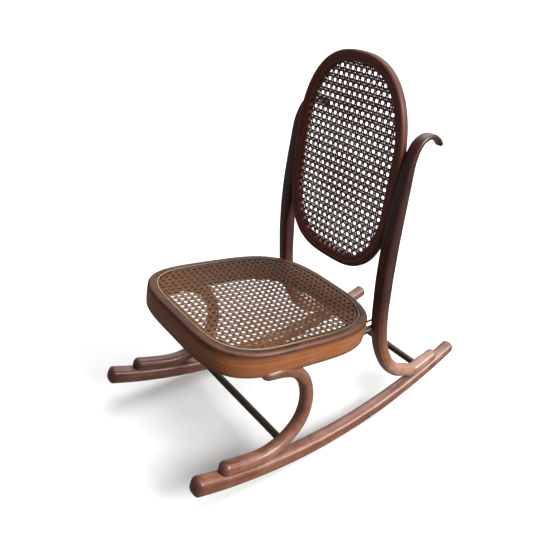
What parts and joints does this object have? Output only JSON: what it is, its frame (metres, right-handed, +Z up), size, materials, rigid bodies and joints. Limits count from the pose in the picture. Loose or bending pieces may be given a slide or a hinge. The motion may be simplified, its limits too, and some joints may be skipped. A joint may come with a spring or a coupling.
{
  "type": "rocking chair",
  "caption": "Low armless bentwood rocking chair with a woven cane seat in a rounded-square rim and a tall woven cane oval back between scrolled posts.",
  "frame": {"origin": "centre of the bounding box in plan, at floor level under the rockers", "axes": "+Z up, -Y the front of the chair, +X across the chair towards the sitter's left"},
  "size_m": [0.3578, 0.6508, 0.6728],
  "materials": {
    "bentwood": "dark reddish brown satin varnish",
    "seat_wood": "worn mid brown satin varnish",
    "reed": "varnished reed",
    "cane": "darkened woven cane, satin",
    "back_cane": "dark stained woven cane, satin",
    "steel": "dark bronzed steel"
  },
  "bodies": {
    "root": {"rocker_left": "bentwood", "rocker_right": "bentwood", "front_leg_left": "bentwood", "front_leg_right": "bentwood", "back_post_left": "bentwood", "back_post_right": "bentwood", "back_frame": "bentwood", "back_bead": "bentwood", "front_stretcher": "bentwood", "rear_stretcher": "bentwood", "seat_spacers": "bentwood", "seat_rim": "seat_wood", "seat_spline": "reed", "seat_cane": "cane", "back_cane": "back_cane", "seat_bolts": "steel", "seat_screws": "steel", "leg_screws": "steel", "rocker_screws_front": "steel", "rocker_screws_rear": "steel", "back_screws_lower": "steel", "back_screws_upper": "steel"}
  },
  "joints": []
}
